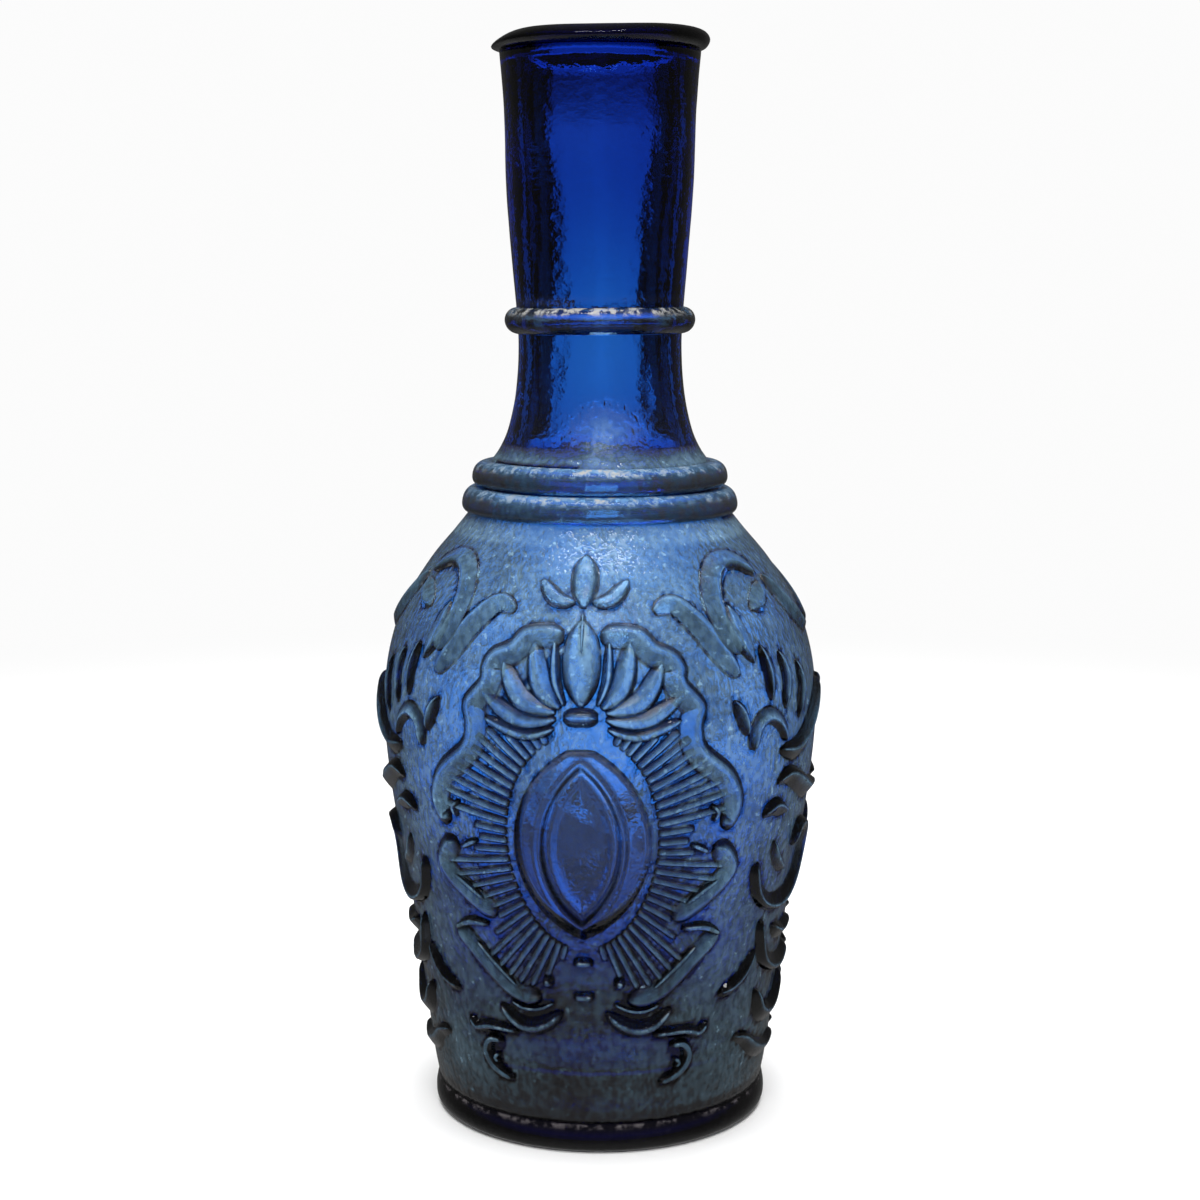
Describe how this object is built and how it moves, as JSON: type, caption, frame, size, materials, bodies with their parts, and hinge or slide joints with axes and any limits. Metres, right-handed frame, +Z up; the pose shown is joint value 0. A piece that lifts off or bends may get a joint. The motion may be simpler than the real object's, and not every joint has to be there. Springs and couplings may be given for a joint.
{
  "type": "glass bottle",
  "caption": "Tall mould-blown cobalt glass bottle with a ringed neck, laid-on lip, foot ring and raised medallions between scrollwork.",
  "frame": {"origin": "centre of the foot ring on the surface it stands on", "axes": "+Z up along the bottle's axis, -Y out of the middle of the front medallion, +X to the right of it"},
  "size_m": [0.1038, 0.1046, 0.25],
  "materials": {
    "vessel_glass": "cobalt glass, glossy on the neck, stippled and hazy on the belly",
    "lip_glass": "thick cobalt glass, glossy, nearly black",
    "ring_glass": "cobalt glass, glossy with a worn haze on top",
    "foot_glass": "thick cobalt glass, glossy, nearly black",
    "relief_glass": "moulded cobalt glass, softly glossy with pale residue along the edges",
    "jewel_glass": "moulded cobalt glass, smooth and clear"
  },
  "bodies": {
    "root": {"blown_vessel": "vessel_glass", "applied_lip": "lip_glass", "neck_ring": "ring_glass", "upper_collar": "ring_glass", "lower_collar": "ring_glass", "foot_ring": "foot_glass", "front_frame": "relief_glass", "front_palmette": "relief_glass", "front_finial": "relief_glass", "front_jewel": "jewel_glass", "front_rays": "relief_glass", "front_studs": "relief_glass", "front_curls": "relief_glass", "rear_frame": "relief_glass", "rear_palmette": "relief_glass", "rear_finial": "relief_glass", "rear_jewel": "jewel_glass", "rear_rays": "relief_glass", "rear_studs": "relief_glass", "rear_curls": "relief_glass", "left_scrollwork": "relief_glass", "right_scrollwork": "relief_glass"}
  },
  "joints": []
}
